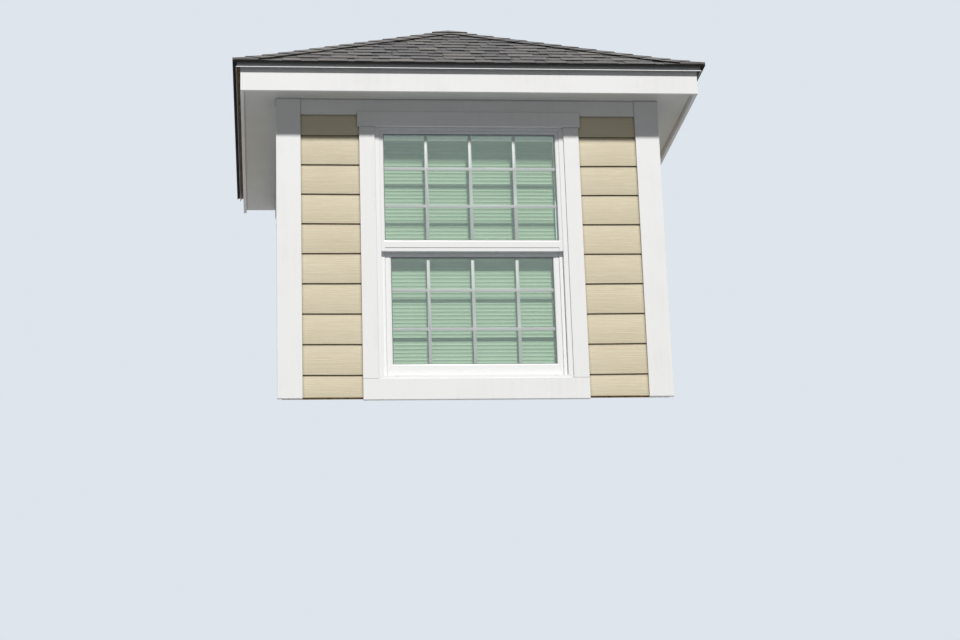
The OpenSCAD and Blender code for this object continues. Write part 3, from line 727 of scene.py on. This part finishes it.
bareEdge = -1  # the tone that marks cut edges
shingles = {
    "exposure": 0.142,
    "sheet": 0.0022,  # thickness of one ply
    "nick": 0.0002,  # small gap or overlap between plies
    "over": 0.02,  # what runs on under the next course, and past a hip before it is cut
    "starter": 0.2,  # width of the strip under the first course
    "length": 0.985,  # length of one strip
    "joint": 0.0016,  # between two strips
    "stripStart": (0.05, 0.9),  # how far before a slope its first strip starts
    "stripLeast": 0.004,
    "tabs": (0.085, 0.205),  # width of the tabs, which are the upper ply
    "gaps": (0.045, 0.125),
    "tabStart": (0, 0.2),
    "tabLeast": 0.02,
    "slant": 0.006,  # how far a tab's sides lean
    "ragged": 0.0008,  # how far a tab's butt may stick out over the eave course
    "courseLeast": 0.01,
    "starterTone": 0.12,
    "stripTones": (0.16, 0.42),
    "tones": (0.3, 0.42, 0.52, 0.62, 0.8),
    "toneSway": 0.05,
    "seed": 5,
}


def slopeFrame(side):
    # origin on the eave line, then the directions along the eave, up the slope and out of it
    rise = dormer["eaveZ"] - (dormer["tileX"] - dormer["deckX"]) * dormer["roofRise"]
    rise += (dormer["deckThick"] + dormer["dripSheet"]) / math.cos(roofAngle)
    if side == "front":
        return Vector((0, dormer["tileY"], rise)), Vector((1, 0, 0)), *slopeAxes(side)
    return Vector((sides[side] * dormer["tileX"], 0, rise)), Vector((0, sides[side], 0)), *slopeAxes(side)


def addShingle(bm, layer, tone, at, across, upward, butt, head, slant=0.0):
    # a wedge between two distances along the eave and two up the slope, with the heights of its
    # lower and upper face at the butt and at the head
    (u0, u1), (s0, s1) = across, upward
    corners = ((u0, s0, butt), (u1, s0, butt), (u1 - slant, s1, head), (u0 + slant, s1, head))
    faces = addPrism(bm, [at(u, s, heights[0]) for u, s, heights in corners],
                     [at(u, s, heights[1]) for u, s, heights in corners])
    for face in faces:
        face[layer] = tone if face is faces[1] else bareEdge


def layCourse(bm, layer, at, chance, course, left, right):
    # strips laid end to end, and over them the tabs with gaps between
    shape, ply, nick = shingles, shingles["sheet"], shingles["nick"]
    start, stop = left - shape["over"], right + shape["over"]
    s0, reach = course * shape["exposure"], shape["exposure"] + shape["over"]
    drop = 2 * ply * reach / shape["exposure"]
    strip = left - chance.uniform(*shape["stripStart"])
    while strip < right:
        end = strip + shape["length"]
        u0, u1 = max(strip, start), min(end - shape["joint"], stop)
        if u1 > u0 + shape["stripLeast"]:
            addShingle(bm, layer, chance.uniform(*shape["stripTones"]), at, (u0, u1), (s0, s0 + reach),
                       (ply + nick, 3 * ply), (2 * ply - drop + 2 * nick, 3 * ply - drop))
        strip = end
    tab = left - chance.uniform(*shape["tabStart"])
    while tab < right:
        wide = chance.uniform(*shape["tabs"])
        u0, u1 = max(tab, start), min(tab + wide, stop)
        if u1 > u0 + shape["tabLeast"]:
            curl = chance.uniform(0, nick)
            tone = chance.choice(shape["tones"]) + chance.uniform(-shape["toneSway"], shape["toneSway"])
            ragged = chance.uniform(0, shape["ragged"]) * (course > 0)
            slant = chance.uniform(-1, 1) * shape["slant"]
            addShingle(bm, layer, tone, at, (u0, u1), (s0 - ragged, s0 + reach),
                       (3 * ply - nick, 4 * ply + curl), (3 * ply - drop - nick, 4 * ply - drop), slant)
        tab += wide + chance.uniform(*shape["gaps"])


def slopeCuts(side):
    # a point and a normal for the eave, the hips, the ridge and the seat, where a slope has them
    x, y = dormer["tileX"], dormer["tileY"]
    if side == "front":
        return ((0, y, 0), (0, 1, 0)), ((-x, y, 0), (1, -1, 0)), ((x, y, 0), (-1, -1, 0))
    s = sides[side]
    return (((s * x, 0, 0), (-s, 0, 0)), ((s * x, y, 0), (s, 1, 0)), ((0, 0, 0), (s, 0, 0)),
            ((0, 0, 0), seatNormal))


def shingleSlope(side):
    shape, chance = shingles, random.Random(shingles["seed"] + len(side))
    origin, along, up, out = slopeFrame(side)

    def at(u, s, h):
        return origin + along * u + up * s + out * h

    bm = bmesh.new()
    layer = bm.faces.layers.float.new("tabShade")
    ends = {"front": (-dormer["tileX"], dormer["tileX"]), "left": (-dormer["farY"], -dormer["tileY"]),
            "right": (dormer["tileY"], dormer["farY"])}
    low, high = ends[side]
    ply, nick = shape["sheet"], shape["nick"]
    addShingle(bm, layer, shape["starterTone"], at, (low, high), (0.0, shape["starter"]),
               (nick, 2 * ply), (nick, ply))
    course = 0
    while course * shape["exposure"] < dormer["tileX"] / math.cos(roofAngle) - shape["courseLeast"]:
        # the slope narrows to the hips, and widens to the main roof
        inset = course * shape["exposure"] * math.cos(roofAngle)
        layCourse(bm, layer, at, chance, course, low + (inset if side in ("front", "right") else 0),
                  high - (inset if side in ("front", "left") else 0))
        course += 1
    for point, normal in slopeCuts(side):
        keepSide(bm, point, normal, (layer,))
    addPiece(side + "Shingles", bm, roofShingle, (side + "_shingles",))


for side in ("front", "left", "right"):
    shingleSlope(side)
print("stage 5: shingles are laid")

# Caps over the hips and the ridge

caps = {
    "exposure": 0.142,
    "over": 0.03,  # what a cap runs on under the next one
    "reach": 0.112,  # how far a cap runs down each slope
    "sway": 0.004,  # how much that differs from cap to cap
    "taper": 0.006,  # and how much less it is at the upper end
    "low": 0.0092,  # above the underside of the shingles
    "butt": 0.0048,  # thickness at the lower end
    "thin": 0.0014,
    "round": 0.02,  # how far from the crease the fold starts
    "crease": 0.002,  # how far the fold lies under a sharp one
    "past": 0.02,  # what a cap may run on past the end of its crease
    "footLift": 0.007,  # the lowest caps lie doubled
    "footReach": 0.30,
    "hipFirst": -0.164,  # where the caps start along a hip, from the eave's corner
    "hipLast": 0.2,  # where they end, before the hips' meeting
    "ridgePast": 0.2,  # what the ridge caps run on before the seat cuts them
    "tones": (0.36, 0.48, 0.58, 0.7),
    "toneSway": 0.04,
    "apexOut": 0.113,  # how far the cap over the hips' meeting runs down each hip, in plan
    "apexBack": 0.16,  # how far it runs back along the ridge
    "apexSide": (0.86, 0.7),  # shares of these two at its side corners
    # heights of its lower and upper face over the slopes, from the point to the ridge
    "apexHeights": {"point": (0.0088, 0.0128), "hip": (0.0128, 0.0176), "side": (0.0118, 0.0160),
                    "ridge": (0.0080, 0.0098)},
    "apexTone": 0.56,
    "seed": 23,
}


def creaseCaps(bm, layer, chance, start, end, slopes, first, last, footLift=0.0):
    # folded caps along the crease of two slopes, between two distances from its start
    shape = caps
    line = (end - start).normalized()
    normals, downs = [], []
    for *_, up, out in slopes:
        down = out.cross(line).normalized()
        normals.append(out)
        downs.append(-down if down.dot(up) > 0 else down)
    mitre = (normals[0] + normals[1]) / (1 + normals[0].dot(normals[1]))

    def section(t, low, high, wide):
        # the upper face of the folded sheet from side to side, then the lower face back
        at = start + line * t
        points = []
        for height in (high + footLift * max(0.0, 1 - t / shape["footReach"]), low):
            row = [at + downs[0] * wide + normals[0] * height,
                   at + downs[0] * shape["round"] + normals[0] * height,
                   at + mitre * (height - shape["crease"]),
                   at + downs[1] * shape["round"] + normals[1] * height,
                   at + downs[1] * wide + normals[1] * height]
            points += row if height > low else row[::-1]
        return points

    t = first
    while t < last:
        wide = shape["reach"] + chance.uniform(-shape["sway"], shape["sway"])
        length = min(shape["exposure"] + shape["over"], (end - start).length + shape["past"] - t)
        low, thin = shape["low"], shape["thin"]
        faces = addPrism(bm, section(t, low + thin, low + thin + shape["butt"], wide),
                         section(t + length, low, low + thin, wide - shape["taper"]))
        tone = chance.choice(shape["tones"]) + chance.uniform(-shape["toneSway"], shape["toneSway"])
        for face in faces:
            face[layer] = bareEdge
        for face in faces[2:6]:  # the four strips of the upper face
            face[layer] = tone
        t += shape["exposure"]


def apexCap(bm, layer, top):
    # one cap bent over the place where both hips meet the ridge
    out, back = caps["apexOut"], caps["apexBack"]
    sideX, sideY = out * caps["apexSide"][0], back * caps["apexSide"][1]
    spots = ((0, 0, "point"), (-out, -out, "hip"), (out, -out, "hip"), (sideX, sideY, "side"),
             (0, back, "ridge"), (-sideX, sideY, "side"))
    low, high = [], []
    for x, y, kind in spots:
        fall = max(abs(x), -y) * dormer["roofRise"]
        for row, height in zip((low, high), caps["apexHeights"][kind]):
            row.append(bm.verts.new(top + Vector((x, y, height / math.cos(roofAngle) - fall))))
    for corners in ((0, 1, 2), (0, 2, 3, 4), (0, 4, 5, 1)):
        bm.faces.new([high[i] for i in corners])[layer] = caps["apexTone"]
        bm.faces.new([low[i] for i in corners][::-1])[layer] = bareEdge
    for a, b in ((1, 2), (2, 3), (3, 4), (4, 5), (5, 1)):
        bm.faces.new((low[a], low[b], high[b], high[a]))[layer] = bareEdge


def capPieces():
    shape, chance = caps, random.Random(caps["seed"])
    slopes = {side: slopeFrame(side) for side in ("front", "left", "right")}
    rise = slopes["front"][0].z
    top = Vector((0, dormer["apexY"], rise + dormer["tileX"] * dormer["roofRise"]))
    whole = bmesh.new()
    whole.faces.layers.float.new("tabShade")

    def addPart(build, cuts):
        part = bmesh.new()
        layer = part.faces.layers.float.new("tabShade")
        build(part, layer)
        for point, normal in cuts:
            keepSide(part, point, normal, (layer,))
        mesh = bpy.data.meshes.new("part")
        part.to_mesh(mesh)
        part.free()
        whole.from_mesh(mesh)
        bpy.data.meshes.remove(mesh)

    for side, s in sides.items():
        foot = Vector((s * dormer["tileX"], dormer["tileY"], rise))
        last = (top - foot).length - shape["hipLast"]
        addPart(lambda bm, layer: creaseCaps(bm, layer, chance, foot, top, (slopes["front"], slopes[side]),
                                             shape["hipFirst"], last, shape["footLift"]),
                ((foot, (-s, 0, 0)), (foot, (0, 1, 0)), ((0, 0, 0), (s, 0, 0))))
    start = top + Vector((0, shape["apexBack"] - shape["over"], 0))
    end = Vector((top.x, dormer["farY"] + shape["ridgePast"], top.z))
    addPart(lambda bm, layer: creaseCaps(bm, layer, chance, start, end, (slopes["left"], slopes["right"]),
                                         0.0, (end - start).length), (((0, 0, 0), seatNormal),))
    addPart(lambda bm, layer: apexCap(bm, layer, top), ())
    addPiece("capShingles", whole, roofShingle, ("roof_caps",), smooth=50)


capPieces()
print("stage 6: hips and ridge are capped")

# Bars between the panes, spacers and weld lines

bars = {
    "wide": 0.019,
    "thick": 0.006,
    "upright": (-0.2525, 0.002, 0.2575),
    "levels": {"upper": (1.317, 1.090), "lower": (0.598, 0.368)},
    "hidden": 0.004,  # what the bars run on behind the sash
    "easing": 0.0014,
    "gap": 0.0116,  # between the panes
    "spacer": 0.0045,  # how far the spacer shows past the sash
    "spacerWide": 0.0095,
}


def flatLattice(bm, xs, zs, depths):
    # both faces of the lattice, with the cells left open whose two numbers are even
    for i in range(len(xs) - 1):
        for k in range(len(zs) - 1):
            if i % 2 == 1 or k % 2 == 1:
                for y in depths:
                    bm.faces.new([bm.verts.new((x, y, z)) for x, z in (
                        (xs[i], zs[k]), (xs[i + 1], zs[k]), (xs[i + 1], zs[k + 1]), (xs[i], zs[k + 1]))])
    bmesh.ops.remove_doubles(bm, verts=bm.verts[:], dist=samePoint)


def closeRims(bm):
    # joins each open edge of the front face to the one behind it
    pairs = {}
    for edge in bm.edges:
        if len(edge.link_faces) == 1:
            key = tuple(sorted((round(v.co.x, 5), round(v.co.z, 5)) for v in edge.verts))
            pairs.setdefault(key, []).append(edge)
    for front, back in pairs.values():
        a, b = front.verts
        c = min(back.verts, key=lambda v: (v.co - b.co).length)
        d = min(back.verts, key=lambda v: (v.co - a.co).length)
        bm.faces.new((a, b, c, d))


def barGrid(name, halfWide, low, high, levels, middle):
    # one flat lattice, so that the bars share their crossings
    half = bars["wide"] / 2
    xs = sorted([-halfWide, halfWide] + [x + d for x in bars["upright"] for d in (-half, half)])
    zs = sorted([low, high] + [z + d for z in levels for d in (-half, half)])
    bm = bmesh.new()
    flatLattice(bm, xs, zs, (middle - bars["thick"] / 2, middle + bars["thick"] / 2))
    closeRims(bm)
    bmesh.ops.recalc_face_normals(bm, faces=bm.faces[:])
    flat = [e for e in bm.edges if len(e.link_faces) == 2 and e.calc_face_angle() < 0.01]
    bmesh.ops.dissolve_edges(bm, edges=flat, use_verts=True)
    sharp = [e for e in bm.edges if len(e.link_faces) == 2 and e.calc_face_angle() > 0.5
             and abs(e.verts[0].co.y - e.verts[1].co.y) < samePoint]
    bmesh.ops.bevel(bm, geom=sharp, offset=bars["easing"], segments=2, affect="EDGES", profile=0.5)
    addPiece(name, bm, windowVinyl, smooth=40)


def addRing(bm, halfWide, low, high, wide, front, back):
    # a rectangular frame round an opening, with mitred corners
    inner = [(-halfWide, low), (halfWide, low), (halfWide, high), (-halfWide, high)]
    out, foot, head = halfWide + wide, low - wide, high + wide
    outer = [(-out, foot), (out, foot), (out, head), (-out, head)]
    for i in range(4):
        k = (i + 1) % 4
        outline = [inner[i], inner[k], outer[k], outer[i]]
        addPrism(bm, [Vector((x, front, z)) for x, z in outline], [Vector((x, back, z)) for x, z in outline])


for sash in ("upper", "lower"):
    halfWide, low, high, middle = paneOf(sash)
    hidden, shows = bars["hidden"], bars["spacer"]
    barGrid(sash + "GlazingBars", halfWide + hidden, low - hidden, high + hidden,
            bars["levels"][sash], middle)
    ringMesh = bmesh.new()
    addRing(ringMesh, halfWide - shows, low + shows, high - shows, bars["spacerWide"],
            middle - bars["gap"] / 2, middle + bars["gap"] / 2)
    addPiece(sash + "Spacer", ringMesh, spacerGrey)

welds = {
    "wide": 0.0010,
    "proud": 0.00012,
    "sunk": 0.0002,
    # outer corner, inner corner and face of each mitred joint, on the right
    "joints": (((0.548, 1.567), (0.521, 1.547), -0.063), ((0.548, 0.067), (0.521, 0.086), -0.063),
               ((0.521, 1.547), (0.507, 1.537), -0.058), ((0.499, 0.094), (0.474, 0.153), -0.024)),
}


def weldLines():
    # the faint lines where mitred plastic profiles are welded
    bm = bmesh.new()
    for outer, inner, face in welds["joints"]:
        for s in sides.values():
            a, b = Vector((s * outer[0], 0, outer[1])), Vector((s * inner[0], 0, inner[1]))
            across = (b - a).cross(Vector((0, 1, 0))).normalized() * welds["wide"] / 2
            outline = [a - across, a + across, b + across, b - across]
            addPrism(bm, [p + Vector((0, face + welds["sunk"], 0)) for p in outline],
                     [p + Vector((0, face - welds["proud"], 0)) for p in outline])
    addPiece("weldLines", bm, weldGrey)


weldLines()
print("stage 7: bars, spacers and weld lines are fitted")

# Floor, light and camera

studio = {
    "floorPlace": (0, 1.0, -4.5),
    "floorRadius": 4.0,
    "floorFade": (0.55, 0.98),  # shares of the radius between which the floor fades out
    "floorWhite": paint(216, 217, 218),
    "backdrop": paint(222, 229, 236),
    "fillColour": (0.97, 0.985, 1.0, 1),
    "fill": 0.17,
    "lampColour": (1.0, 0.98, 0.95),
    # each soft lamp: where it shines from, strength and angle in degrees
    "lamps": {
        "key": (Vector((0.055, -0.60, 0.585)), 3.35, 4),
        "rightSide": (Vector((0.80, 0.25, 0.55)), 1.35, 25),
        "leftSide": (Vector((-0.80, 0.30, 0.55)), 1.15, 25),
    },
}


def buildFloor():
    bm = bmesh.new()
    bmesh.ops.create_circle(bm, cap_ends=True, radius=studio["floorRadius"], segments=96)
    mesh = bpy.data.meshes.new("studioFloor")
    bm.to_mesh(mesh)
    bm.free()
    floor = addToScene("studioFloor", mesh)
    floor.location = studio["floorPlace"]
    look = newLook("studioFloorLook")
    away = make("ShaderNodeVectorMath", {0: objectPlace()}, operation="LENGTH").outputs["Value"]
    edge = spread(away, 1, 0, *(studio["floorRadius"] * share for share in studio["floorFade"]))
    matt = make("ShaderNodeBsdfDiffuse", {"Color": studio["floorWhite"]})
    clear = make("ShaderNodeBsdfTransparent")
    shader = make("ShaderNodeMixShader", {0: edge, 1: clear.outputs[0], 2: matt.outputs[0]})
    mesh.materials.append(finishLook(look, shader))


def buildWorld():
    # the camera, mirrors and glass see the backdrop, and everything else gets the dimmer fill
    world = bpy.data.worlds.new("studioWorld")
    bpy.context.scene.world = world
    openTree(world)
    seen = make("ShaderNodeBackground", {"Color": studio["backdrop"], "Strength": 1.0})
    fill = make("ShaderNodeBackground", {"Color": studio["fillColour"], "Strength": studio["fill"]})
    rays = make("ShaderNodeLightPath").outputs
    sees = rays["Is Camera Ray"]
    for name in ("Is Glossy Ray", "Is Transmission Ray"):
        sees = math2("MAXIMUM", sees, rays[name])
    mix = make("ShaderNodeMixShader", {0: sees, 1: fill.outputs[0], 2: seen.outputs[0]})
    make("ShaderNodeOutputWorld", {"Surface": mix.outputs[0]})


def buildLamps():
    for name, (source, strength, angle) in studio["lamps"].items():
        sun = bpy.data.lights.new(name, "SUN")
        sun.energy = strength
        sun.angle = math.radians(angle)
        sun.color = studio["lampColour"]
        lamp = addToScene(name, sun)
        lamp.rotation_mode = "QUATERNION"
        lamp.rotation_quaternion = (-source).to_track_quat("-Z", "Y")


view = {
    "place": Vector((-1.1913, -11.3871, -2.8636)),
    "yaw": 6.14577,  # degrees to the right
    "pitch": 16.02176,  # degrees up
    "roll": -1.86495,  # degrees
    "lens": 78.80,
    "sensor": 36,
    "clip": (0.1, 200),
}


def buildCamera():
    yaw, pitch, roll = (math.radians(view[key]) for key in ("yaw", "pitch", "roll"))
    ahead = Vector((math.sin(yaw) * math.cos(pitch), math.cos(yaw) * math.cos(pitch), math.sin(pitch)))
    level = Vector((math.cos(yaw), -math.sin(yaw), 0))
    above = level.cross(ahead)
    right = level * math.cos(roll) + above * math.sin(roll)
    up = above * math.cos(roll) - level * math.sin(roll)
    lens = bpy.data.cameras.new("photoCamera")
    lens.lens = view["lens"]
    lens.sensor_width = view["sensor"]
    lens.clip_start, lens.clip_end = view["clip"]
    camera = addToScene("photoCamera", lens)
    turn = Matrix((right, up, -ahead)).transposed().to_4x4()
    camera.matrix_world = Matrix.Translation(view["place"]) @ turn
    bpy.context.scene.camera = camera


buildFloor()
buildWorld()
buildLamps()
buildCamera()
bpy.context.scene.view_settings.view_transform = "Standard"
print("stage 8: floor, light and camera are set")
